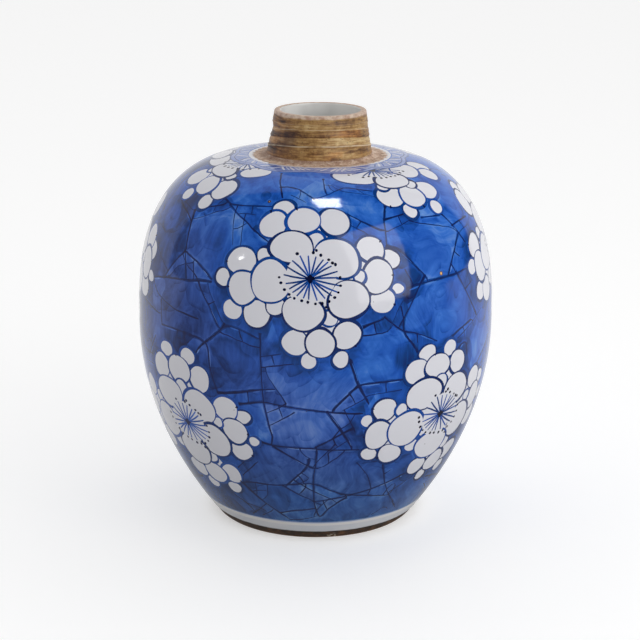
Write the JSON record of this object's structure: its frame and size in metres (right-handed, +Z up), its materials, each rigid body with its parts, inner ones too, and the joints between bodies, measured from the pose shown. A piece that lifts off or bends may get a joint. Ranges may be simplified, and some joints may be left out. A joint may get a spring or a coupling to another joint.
{
  "type": "porcelain jar",
  "caption": "Ovoid porcelain jar with a blue and white painted body, a short bare brown neck and a turned foot ring, for flowers or storage.",
  "frame": {"origin": "middle of the circle that the foot ring stands on", "axes": "+Z up along the jar's own axis; -Y is the side that faces the camera in the picture"},
  "size_m": [0.1426, 0.1426, 0.165],
  "materials": {
    "painted_glaze": "cobalt painting under a clear glossy glaze",
    "white_glaze": "bluish white glossy glaze",
    "neck_clay": "bare clay washed with iron brown, with throwing lines",
    "foot_clay": "bare fired clay, rough and worn"
  },
  "bodies": {
    "root": {"foot_ring": "foot_clay", "base_disc": "white_glaze", "lower_body": "painted_glaze", "upper_body": "painted_glaze", "neck": "neck_clay", "base_lute": "white_glaze", "belly_lute": "white_glaze", "neck_lute": "white_glaze"}
  },
  "joints": []
}
